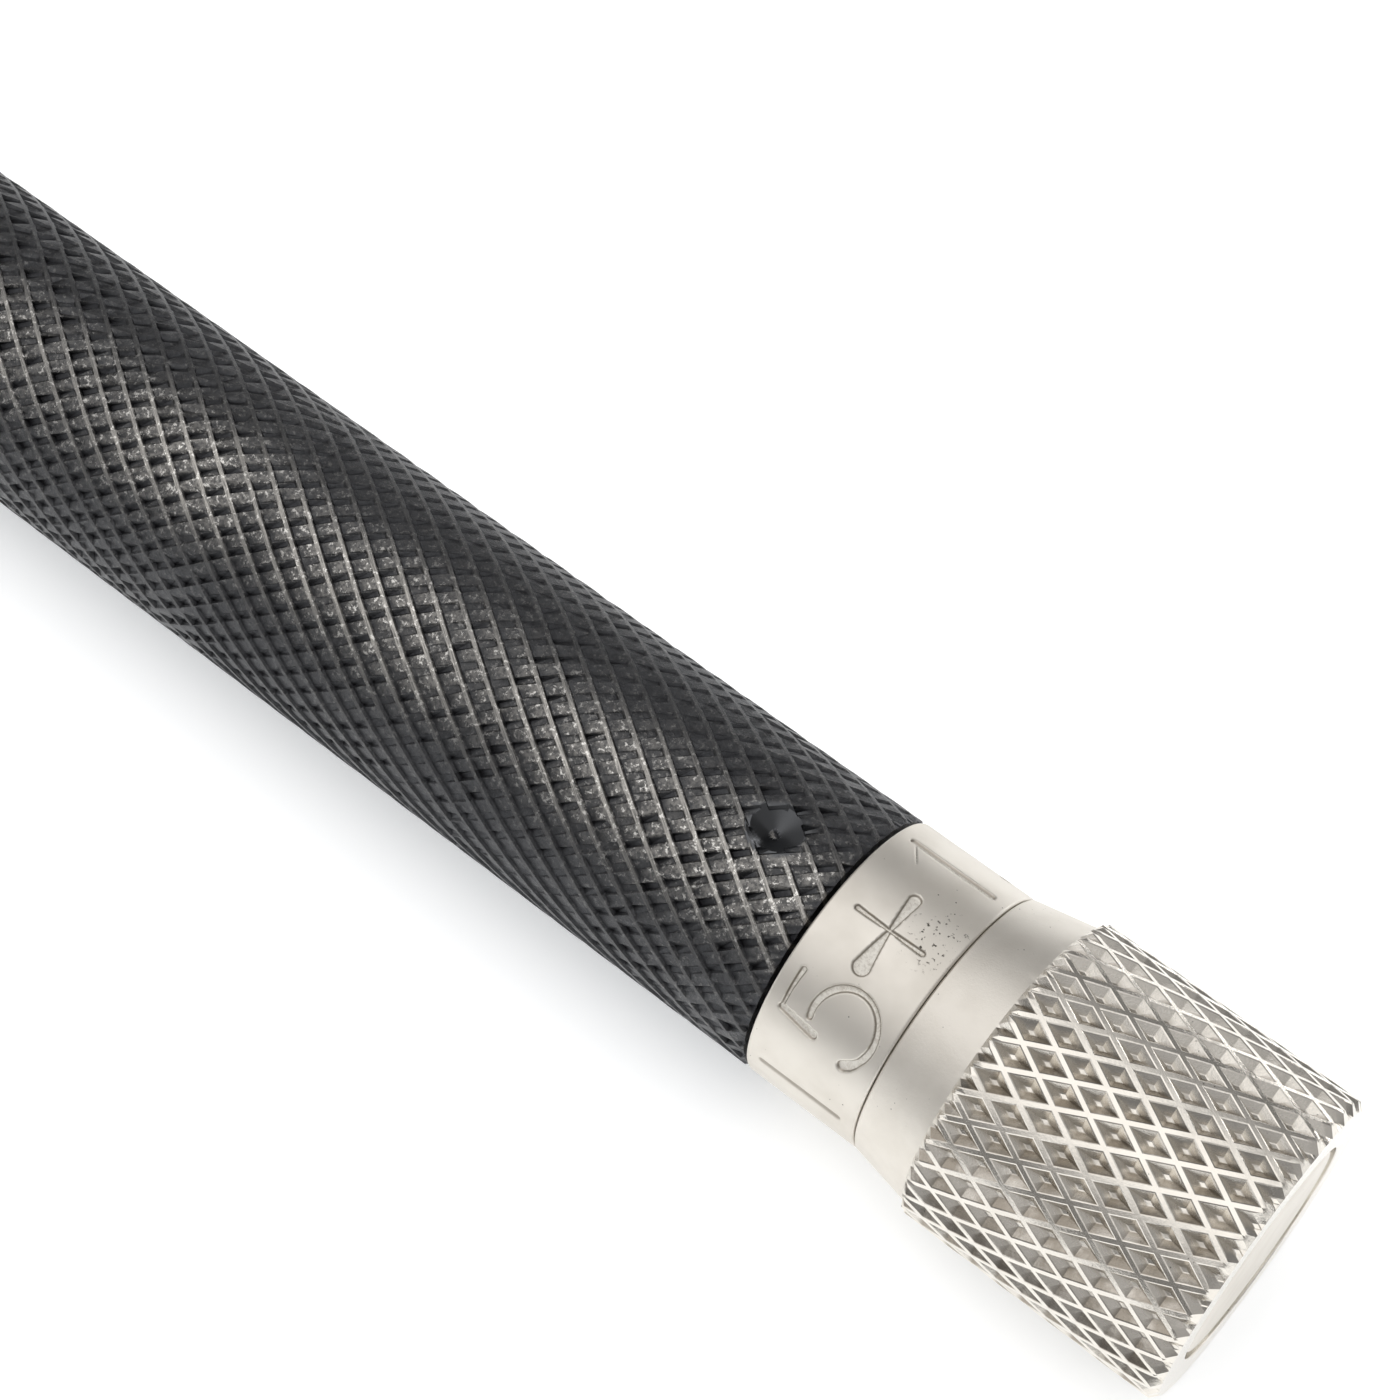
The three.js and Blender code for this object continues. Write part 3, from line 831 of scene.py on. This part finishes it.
def build_dial():
    columns, sides = 118, 840
    edge = 0.10
    inner = HUB_BORE_R
    face_s = np.linspace(DIAL_FRONT + edge, DIAL_REAR - edge, columns)
    edge_r, shoulder_r = HANDLE_R - edge, HANDLE_R - edge * 0.3
    profile = [(DIAL_FRONT, inner), (DIAL_FRONT, edge_r), (DIAL_FRONT + edge * 0.3, shoulder_r)]
    profile += [(float(x), HANDLE_R) for x in face_s]
    profile += [(DIAL_REAR - edge * 0.3, shoulder_r), (DIAL_REAR, edge_r), (DIAL_REAR, inner)]

    def radius_at(s, t, r):
        between_edges = (s > DIAL_FRONT + 0.9 * edge) & (s < DIAL_REAR - 0.9 * edge)
        face = between_edges & (r > HANDLE_R - 0.5 * edge)
        depth = engraving(s, t)
        scratch = 0.010 * hairline(s, t, (1.0, -0.353), (2.45, -0.352), 0.045)
        waves = 0.0025 * smooth_noise(s * 0.7, np.mod(t, 2 * math.pi) * 24 / (2 * math.pi), 24)
        fine = smooth_noise(s * 9, np.mod(t, 2 * math.pi) * 300 / (2 * math.pi), 300)
        grit = 0.012 * np.abs(fine) * (depth > 0.02)
        return np.where(face, r - depth - scratch - waves - grit, r)

    points, faces = revolve(profile, sides, radius_at)
    cluster_s, cluster_t = 4.35, math.radians(1.5)
    cluster = on_tool(cluster_s, cluster_t, HANDLE_R) / MM
    material = satin_nickel("dial_nickel", tuple(float(c) for c in cluster), True)
    piece = make_piece("engraved_dial", points, faces, material, "adjuster", ["dial_ring"], 60)
    s, t, r = tool_coordinates(piece.data)
    outside = r > HANDLE_R - 2 * GROOVE_DEPTH
    store_float(piece.data, "engraved", np.where(outside, engraving(s, t) / GROOVE_DEPTH, 0))
    return piece


def hairline(s, t, start, end, width):
    """A scratch between two (station, angle) points, 1 at its middle."""
    x, y = s, t * HANDLE_R
    ax, ay = start[0], start[1] * HANDLE_R
    bx, by = end[0], end[1] * HANDLE_R
    dx, dy = bx - ax, by - ay
    along = np.clip(((x - ax) * dx + (y - ay) * dy) / (dx * dx + dy * dy), 0, 1)
    distance = np.hypot(x - ax - along * dx, y - ay - along * dy)
    return np.clip(1 - distance / width, 0, 1)


# ---------------------------------------------------------------------------------------------------------
# Cap
# ---------------------------------------------------------------------------------------------------------

CAP_DEPTH = 0.34
CAP_WALL_R, WEB_FRONT, WEB_REAR, SCREW_HOLE_R = 4.9, 9.0, 12.0, 1.7
CAP_CREST, CAP_FOOT, CAP_EDGE = 0.105, 0.405, 0.022
KNURL_FRONT = CAP_FRONT + 2.81
KNURL_REAR = CAP_END - 0.30
SHEET_FRONT = CAP_FRONT + 1.4


def cap_depth(knurl, s, t):
    """Both families stand at the same height, with pyramid-shaped pits between them."""
    u, v = knurl.phases(s, t)
    off_a, _ = off_crest(u)
    off_b, _ = off_crest(v)
    starts = knurl.starts
    dents = smooth_noise(s * 2.3, np.mod(u, starts) * 2.0, starts * 2)
    slow = smooth_noise(s * 0.5, np.mod(v, starts) * 0.5, starts // 2)
    a = flank(off_a, CAP_CREST, CAP_FOOT)
    b = flank(off_b, CAP_CREST, CAP_FOOT)
    pit = CAP_DEPTH * (1 + 0.06 * slow) * np.minimum(a, b)
    return np.maximum(pit + 0.010 * np.maximum(dents, 0) + 0.004 * slow, 0)


def shaded_flank(knurl, s, t):
    """The flank of each pit that rises to the ridge below it in the second family, which is painted dark as
    painted shade.
    """
    u, v = knurl.phases(s, t)
    off_a, _ = off_crest(u)
    off_b, signed_b = off_crest(v)
    flank_a, flank_b = flank(off_a, CAP_CREST, CAP_FOOT), flank(off_b, CAP_CREST, CAP_FOOT)
    return (signed_b > CAP_CREST) & (signed_b < CAP_FOOT) & (flank_b <= flank_a + 0.02)


def cone_radius(s):
    """The smooth cone ends at the bottoms of the pits, and the knurl rises from it in a short step."""
    along = np.clip((s - CAP_FRONT) / (KNURL_FRONT - CAP_FRONT), 0, None)
    cone = HANDLE_R + (CAP_R - CAP_DEPTH - 0.01 - HANDLE_R) * np.minimum(along, 1)
    return cone + 1.9 * np.maximum(0, s - KNURL_FRONT)


def cap_limit(s):
    """The chamfer at the end just reaches the bottoms of the pits."""
    chamfer = CAP_R - CAP_DEPTH * np.maximum(0, s - KNURL_REAR) / (CAP_END - KNURL_REAR)
    return np.minimum(cone_radius(s), chamfer)


def crisp_lines(crest, foot, edge):
    """Phases on both sides of each edge of a ridge, so that the edge has a small chamfer."""
    half = [0, crest - edge, crest + edge, foot - edge, foot + edge]
    return half + [1 - x for x in reversed(half[1:])]


def build_cap():
    lines = crisp_lines(CAP_CREST, CAP_FOOT, CAP_EDGE)
    knurl = Knurl(CAP_R, 36, 28.6, 25.4, lines, lines, cap_depth)
    cone = [(float(x), float(cone_radius(x))) for x in np.linspace(CAP_FRONT + 0.07, SHEET_FRONT, 12)]
    s, t, r, faces = knurled_tube(
        knurl,
        SHEET_FRONT,
        CAP_END,
        cap_limit,
        [
            (CAP_END, CAP_WALL_R + 0.04),
            (CAP_END - 0.04, CAP_WALL_R),
            (WEB_REAR, CAP_WALL_R),
            (WEB_REAR, SCREW_HOLE_R),
        ],
        [
            (WEB_FRONT, SCREW_HOLE_R),
            (WEB_FRONT, HUB_BORE_R),
            (CAP_FRONT, HUB_BORE_R),
            (CAP_FRONT, HANDLE_R - 0.07),
        ]
        + cone[:-1],
    )
    piece = make_piece(
        "knurled_cap", on_tool(s, t, r), faces, knurled_nickel(), "adjuster", ["adjuster_cap"], 16
    )
    s, t, r = tool_coordinates(piece.data)
    inside_knurl = (s > KNURL_FRONT) & (s < KNURL_REAR)
    store_float(piece.data, "depth", np.where(inside_knurl, np.clip((CAP_R - r) / CAP_DEPTH, 0, 1), 0))
    # The pit flanks that get painted shade.
    store_float(piece.data, "corner", inside_knurl & shaded_flank(knurl, s, t))
    store_float(piece.data, "satin", s < KNURL_FRONT + 0.02)
    return piece


def build_end_disc():
    front, rear = ends_of("end_disc")
    radius = width_of("end_disc") / 2
    chamfer, hollow, hollow_r = 0.22, 0.06, 1.4
    profile = [
        (front, 0.0),
        (front, radius),
        (rear - chamfer, radius),
        (rear, radius - chamfer),
        (rear - hollow, hollow_r),
        (rear - hollow, 0.0),
    ]
    points, faces = revolve(rounded(profile, 0.1, closed=False), 128)
    material = satin_nickel("disc_nickel")
    return make_piece("turned_end_disc", points, faces, material, "adjuster", ["end_disc"])


# ---------------------------------------------------------------------------------------------------------
# Front end
# ---------------------------------------------------------------------------------------------------------


def turned_piece(name, profile, material, body, node, fillet=0.12, sides=128, closed=True):
    points, faces = revolve(rounded(profile, fillet, closed=closed), sides)
    return make_piece(name, points, faces, material, body, [node])


def build_collar():
    """Hexagonal collar: flats, with both ends turned to a chamfer."""
    front, rear = ends_of("hex_collar")
    flat_r, bore = CAP_R, 3.65
    corner_r = flat_r / math.cos(math.pi / 6)
    chamfer, turned_end_r = 0.95, 6.75
    inner = 6.3
    outside = np.concatenate(
        [
            np.linspace(front, front + chamfer + 0.2, 22),
            np.linspace(front + chamfer + 0.3, rear - chamfer - 0.3, 8),
            np.linspace(rear - chamfer - 0.2, rear, 22),
        ]
    )
    profile = [(front, bore), (front, inner)] + [(float(x), corner_r) for x in outside]
    profile += [(rear, inner), (rear, bore)]

    def radius_at(s, t, r):
        sixth = math.pi / 3
        off = np.mod(t + sixth / 2, sixth) - sixth / 2
        flat = flat_r / np.cos(off)
        from_end = np.minimum(s - front, rear - s)
        turned = turned_end_r + (corner_r - turned_end_r) * np.clip(from_end / chamfer, 0, 1)
        turned = turned + 0.5 * np.maximum(from_end - chamfer, 0)
        soft = 0.05
        gap = np.clip(0.5 + 0.5 * (turned - flat) / soft, 0, 1)
        least = turned * (1 - gap) + flat * gap - soft * gap * (1 - gap)
        corner_round = corner_r - 0.06
        least = np.minimum(least, corner_round)
        return np.where(r > 6.4, least, r)

    points, faces = revolve(profile, 360, radius_at)
    material = satin_nickel("collar_nickel")
    return make_piece("bevelled_hex_collar", points, faces, material, "handle", ["hex_collar"])


def build_nose():
    front, rear = ends_of("nose_sleeve")
    profile = [
        (front, 2.56),
        (front, 3.8),
        (front + 0.3, 4.1),
        (front + 3.0, 4.62),
        (front + 3.1, 4.45),
        (front + 3.5, 4.45),
        (front + 3.6, 4.72),
        (rear - 2.2, 5.5),
        (rear - 1.6, 5.7),
        (rear, 5.7),
        (rear, 3.66),
        (rear - 2.5, 3.66),
        (rear - 2.5, 2.56),
        (front + 4.4, 2.56),
        (front + 4.4, 3.12),
        (front + 3.4, 3.12),
        (front + 3.4, 2.56),
    ]
    return turned_piece("turned_nose", profile, smooth_black(), "handle", "nose_sleeve", 0.1)


def build_plunger():
    """The sliding shaft: bored for the point in front, with a flange that the spring pushes on."""
    front, rear = ends_of("plunger")
    shoulder, bore_end = -96.6, -64.0
    flange_front, flange_rear, flange_r = -65.0, -62.7, 4.48
    profile = [
        (bore_end, 0.0),
        (bore_end, POINT_BORE_R),
        (front, POINT_BORE_R),
        (front, 2.0),
        (shoulder, 2.0),
        (shoulder, 2.5),
        (flange_front, 2.5),
        (flange_front, flange_r),
        (flange_rear, flange_r),
        (flange_rear, 2.3),
        (rear - 0.3, 2.3),
        (rear, 2.0),
        (rear, 0.0),
    ]
    material = turned_metal("ground_steel", rgb(0.66, 0.66, 0.66), rgb(0.5, 0.5, 0.5), 0.18, 0.32)
    name, node = "turned_plunger", "plunger"
    return turned_piece(name, profile, material, "plunger", node, 0.06, closed=False)


CHUCK_DEPTH, CHUCK_CREST, CHUCK_FOOT = 0.22, 0.12, 0.42


def chuck_depth(knurl, s, t):
    u, v = knurl.phases(s, t)
    off_a, _ = off_crest(u)
    off_b, _ = off_crest(v)
    a, b = flank(off_a, CHUCK_CREST, CHUCK_FOOT), flank(off_b, CHUCK_CREST, CHUCK_FOOT)
    return CHUCK_DEPTH * np.minimum(a, b)


def build_chuck():
    front, rear = ends_of("chuck_nut")
    band_front, band_r = -101.5, width_of("chuck_nut") / 2
    neck, neck_r, seat, seat_r = -102.3, 3.7, -103.1, 2.06
    thread_end, thread_r = -96.9, 2.62

    def limit(s):
        return band_r - 0.9 * np.maximum(0, band_front + 0.35 - s) - 0.9 * np.maximum(0, s - rear + 0.35)

    lines = crisp_lines(CHUCK_CREST, CHUCK_FOOT, 0.03)
    knurl = Knurl(band_r, 30, 30, 30, lines, lines, chuck_depth)
    outline = [(front, 1.78), (front, 2.4), (neck, neck_r), (band_front, neck_r)]
    taper = rounded(outline, 0.15, 4, closed=False)
    s, t, r, faces = knurled_tube(
        knurl,
        band_front,
        rear,
        limit,
        [
            (rear, thread_r + 0.1),
            (rear - 0.1, thread_r),
            (thread_end, thread_r),
            (thread_end, seat_r),
            (seat, seat_r),
        ],
        taper[:-1] + [(band_front, neck_r)],
    )
    points = on_tool(s, t, r)
    material = knurled_nickel("chuck_nickel")
    piece = make_piece("knurled_chuck_nut", points, faces, material, "chuck", ["chuck_nut"])
    s, t, r = tool_coordinates(piece.data)
    depth = np.where(s > band_front, (limit(s) - r) / CHUCK_DEPTH, 0)
    store_float(piece.data, "depth", np.clip(depth, 0, 1))
    return piece


def build_collet():
    """Collet jaws, with four slots that are open at the front."""
    front, rear = ends_of("collet")
    nut_front = ends_of("chuck_nut")[0]
    profile = [(front, POINT_BORE_R), (front, 1.5), (nut_front, 1.7), (rear, 1.98), (rear, POINT_BORE_R)]
    points, faces = revolve(rounded(profile, 0.05), 96)
    material = turned_metal("collet_steel", rgb(0.42, 0.42, 0.43), rgb(0.3, 0.3, 0.31), 0.22, 0.36)
    piece = make_piece("slotted_collet", points, faces, material, "plunger", ["collet"])
    cutter_mesh = bpy.data.meshes.new("slots")
    bm = bmesh.new()
    slot_length, slot_width = 4.9, 0.3
    for turn in (0, math.pi / 2):
        size = Matrix.Diagonal((2 * slot_length * MM, slot_width * MM, 6 * MM, 1))
        where = Matrix.Translation((ZERO_X + front * MM, 0, AXIS_Z)) @ Matrix.Rotation(turn, 4, "X") @ size
        bmesh.ops.create_cube(bm, size=1.0, matrix=where)
    bm.to_mesh(cutter_mesh)
    bm.free()
    cut_away(piece, cutter_mesh, crossing=True)
    return piece


def build_point():
    front, rear = ends_of("scriber_point")
    radius = width_of("scriber_point") / 2
    shoulder, end_r, steps = -126.0, 0.42, 8
    profile = [(front, 0.0), (front, end_r)]
    for i in range(1, steps + 1):
        a = i / steps
        profile.append((front + (shoulder - front) * a, end_r + (radius - end_r) * a))
    profile += [(rear - 0.3, radius), (rear, radius - 0.3), (rear, 0.0)]
    steel, dark = rgb(0.58, 0.58, 0.59), rgb(0.44, 0.44, 0.46)
    material = turned_metal("needle_steel", steel, dark, 0.16, 0.28, scale=20.0)
    node, slot = "scriber_point", "hardened_steel"
    return turned_piece("ground_needle", profile, material, "point", node, 0.08, 96, False)


def build_tip():
    front, rear = ends_of("carbide_tip")
    profile = [(front, 0.0), (front + 0.02, 0.04), (rear - 0.02, 0.39), (rear, 0.39), (rear, 0.0)]
    grey, dark = rgb(0.20, 0.20, 0.21), rgb(0.13, 0.13, 0.14)
    material = turned_metal("carbide_look", grey, dark, 0.20, 0.34, scale=24.0)
    points, faces = revolve(profile, 64)
    return make_piece("ground_carbide_tip", points, faces, material, "point", ["carbide_tip"])


SPRING_COIL_R, SPRING_WIRE_R = 3.45, 0.42
SPRING_TURNS, CLOSED_TURNS = 8.5, 1.0
WIRE, WIRE_DARK = rgb(0.32, 0.33, 0.35), rgb(0.22, 0.22, 0.24)


def build_spring():
    """The pressure spring, a coil with closed ends. The real spring shortens as the plunger gives way; this
    mesh keeps one length.
    """
    front, rear = ends_of("pressure_spring")
    first, last = front + SPRING_WIRE_R, rear - SPRING_WIRE_R
    closed = CLOSED_TURNS * (2 * SPRING_WIRE_R + 0.08)
    per_turn, around = 32, 12
    turns = np.linspace(0, SPRING_TURNS, round(SPRING_TURNS * per_turn) + 1)
    stations = np.interp(
        turns,
        (0, CLOSED_TURNS, SPRING_TURNS - CLOSED_TURNS, SPRING_TURNS),
        (first, first + closed, last - closed, last),
    )
    wire = np.linspace(0, 2 * math.pi, around, endpoint=False)
    s = stations[:, None] + SPRING_WIRE_R * np.sin(wire)[None, :]
    t = (2 * math.pi * turns)[:, None] + 0 * wire[None, :]
    r = SPRING_COIL_R + SPRING_WIRE_R * np.cos(wire)[None, :] + 0 * t
    points = on_tool(s, t, r).reshape(-1, 3)
    faces = [tuple(reversed(range(around)))]
    for i in range(len(turns) - 1):
        for j in range(around):
            k = (j + 1) % around
            faces.append((i * around + j, i * around + k, (i + 1) * around + k, (i + 1) * around + j))
    faces.append(tuple((len(turns) - 1) * around + j for j in range(around)))
    steel = turned_metal("spring_wire", WIRE, WIRE_DARK, 0.3, 0.44)
    piece = make_piece("coil_spring", points, faces, steel, "handle", ["pressure_spring"])
    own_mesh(piece)


def finish_inner_nodes():
    """Materials for the CAD nodes that stay, which are inside the tool."""
    looks = {
        "steel": turned_metal("inner_steel", rgb(0.62, 0.62, 0.62), rgb(0.48, 0.48, 0.48), 0.25, 0.4),
        "hardened_steel": turned_metal("inner_hard", rgb(0.5, 0.5, 0.51), rgb(0.38, 0.38, 0.39), 0.2, 0.34),
        "spring_steel": turned_metal("inner_spring", WIRE, WIRE_DARK, 0.3, 0.44),
        "brass": turned_metal("inner_brass", rgb(0.72, 0.53, 0.24), rgb(0.5, 0.36, 0.16), 0.25, 0.4),
        "rubber": rubber_look(),
    }
    slots = {row["node"]: row["material_slot"] for row in frame["record"]["subparts"]}
    for node, obj in frame["nodes"].items():
        if obj.hide_render:
            continue
        obj.data.materials.clear()
        obj.data.materials.append(looks[slots[node]])


# ---------------------------------------------------------------------------------------------------------
# Stage, light and camera
# ---------------------------------------------------------------------------------------------------------


CEILING_EDGE, CEILING_FULL, CEILING_LIGHT = 0.66, 0.96, 0.95
ROOM_LIGHT, WINDOW_LIGHT, DARK_SIDE = 0.46, 5.0, 0.47
ROOM_COLOR = (1.0, 0.99, 0.985, 1)
FLOOR_GLOW = 0.34


def build_stage():
    mesh = bpy.data.meshes.new("floor")
    half = 3.0
    corners = [(-half, -half, 0), (half, -half, 0), (half, half, 0), (-half, half, 0)]
    mesh.from_pydata(corners, [], [(0, 1, 2, 3)])
    floor = bpy.data.objects.new("floor", mesh)
    bpy.context.scene.collection.objects.link(floor)
    n = Nodes("paper")
    grain = n.noise(n.place, 0.9, 3.0)
    color = n.mix(grain, rgb(0.90, 0.90, 0.90), rgb(0.92, 0.918, 0.915))
    n.finish(color, 0.0, 0.8, n.bump(grain, 0.05, 0.02))
    n.shader.inputs["Specular IOR Level"].default_value = 0.2
    n.shader.inputs["Emission Color"].default_value = (0.94, 0.975, 1.0, 1)
    n.shader.inputs["Emission Strength"].default_value = FLOOR_GLOW
    mesh.materials.append(n.material)


def build_world():
    """A pale room: bright above, dull at the sides, with a window low on the +Y side."""
    world = bpy.data.worlds.new("room")
    world.use_nodes = True
    n = Nodes("room_nodes", world.node_tree)
    split = n.tree.nodes.new("ShaderNodeSeparateXYZ")
    n.link(n.direction, split.inputs[0])
    x, y, z = split.outputs
    above = n.ranged(n.dot(n.direction, (-0.30, -0.14, 0.945)), CEILING_EDGE, CEILING_FULL)
    window = n.math("MULTIPLY", n.ranged(z, 0.18, 0.12), n.ranged(z, 0.02, 0.06))
    window = n.math("MULTIPLY", window, n.ranged(n.dot(n.direction, (0.10, 0.99, 0.09)), 0.96, 0.985))
    light = n.math("ADD", n.math("MULTIPLY", above, CEILING_LIGHT), ROOM_LIGHT)
    near_dark = n.math("MULTIPLY", n.ranged(z, 0.60, 0.35), n.ranged(y, -0.30, -0.65))
    far_dark = n.math("MULTIPLY", n.ranged(z, 0.76, 0.52), n.ranged(y, 0.25, 0.55))
    light = n.math("MULTIPLY", light, n.ranged(near_dark, 0.0, 1.0, 1.0, DARK_SIDE))
    light = n.math("MULTIPLY", light, n.ranged(far_dark, 0.0, 1.0, 1.0, DARK_SIDE))
    light = n.math("ADD", light, n.math("MULTIPLY", window, WINDOW_LIGHT))
    background = n.tree.nodes.new("ShaderNodeBackground")
    background.inputs["Color"].default_value = ROOM_COLOR
    n.link(light, background.inputs["Strength"])
    output = n.tree.nodes.new("ShaderNodeOutputWorld")
    n.link(background.outputs[0], output.inputs["Surface"])
    bpy.context.scene.world = world


def add_area(name, angle_deg, distance, along, size, power, color):
    """A soft light in the plane across the tool, at an angle from straight up towards +Y."""
    light = bpy.data.lights.new(name, "AREA")
    light.shape = "RECTANGLE"
    light.size, light.size_y = size
    light.energy = power
    light.color = color
    lamp = bpy.data.objects.new(name, light)
    a = math.radians(angle_deg)
    lamp.location = (ZERO_X + along, distance * math.sin(a), AXIS_Z + distance * math.cos(a))
    target = Vector((ZERO_X, 0, AXIS_Z))
    lamp.rotation_mode = "QUATERNION"
    lamp.rotation_quaternion = (target - lamp.location).to_track_quat("-Z", "Y")
    bpy.context.scene.collection.objects.link(lamp)
    return lamp


def build_lights():
    """A wide soft light that whitens the floor. Metal mirrors the room and not this lamp."""
    lamp = add_area("floor_fill", 10, 0.8, 0.05, (2.0, 2.0), 8.0, (1.0, 1.0, 1.0))
    lamp.visible_glossy = False


CAMERA_AZIMUTH, CAMERA_ELEVATION = math.radians(39.36), math.radians(59.79)
CAMERA_PLACE = (28.93, -43.97, 109.37)
CAMERA_LENS, CAMERA_SENSOR = 77.86, 36.0


def build_camera():
    """The camera looks down at sixty degrees, level, at the dial end of the tool. Its place is in
    millimetres from the middle of the handle's rear end."""
    camera = bpy.data.cameras.new("camera")
    camera.sensor_width = CAMERA_SENSOR
    camera.lens = CAMERA_LENS
    camera.clip_start, camera.clip_end = 0.005, 20.0
    obj = bpy.data.objects.new("camera", camera)
    bpy.context.scene.collection.objects.link(obj)
    along, across, up = CAMERA_PLACE
    obj.location = (ZERO_X + along * MM, across * MM, AXIS_Z + up * MM)
    flat = math.cos(CAMERA_ELEVATION)
    towards_camera = Vector(
        (flat * math.sin(CAMERA_AZIMUTH), -flat * math.cos(CAMERA_AZIMUTH), math.sin(CAMERA_ELEVATION))
    )
    obj.rotation_mode = "QUATERNION"
    obj.rotation_quaternion = (-towards_camera).to_track_quat("-Z", "Y")
    bpy.context.scene.camera = obj


bpy.context.scene.view_settings.view_transform = "Standard"
build_camera()
build_world()
build_lights()
build_stage()
build_handle()
build_dial()
build_cap()
build_end_disc()
build_collar()
build_nose()
build_plunger()
build_chuck()
build_collet()
build_point()
build_tip()
build_spring()
finish_inner_nodes()

bpy.context.view_layer.update()
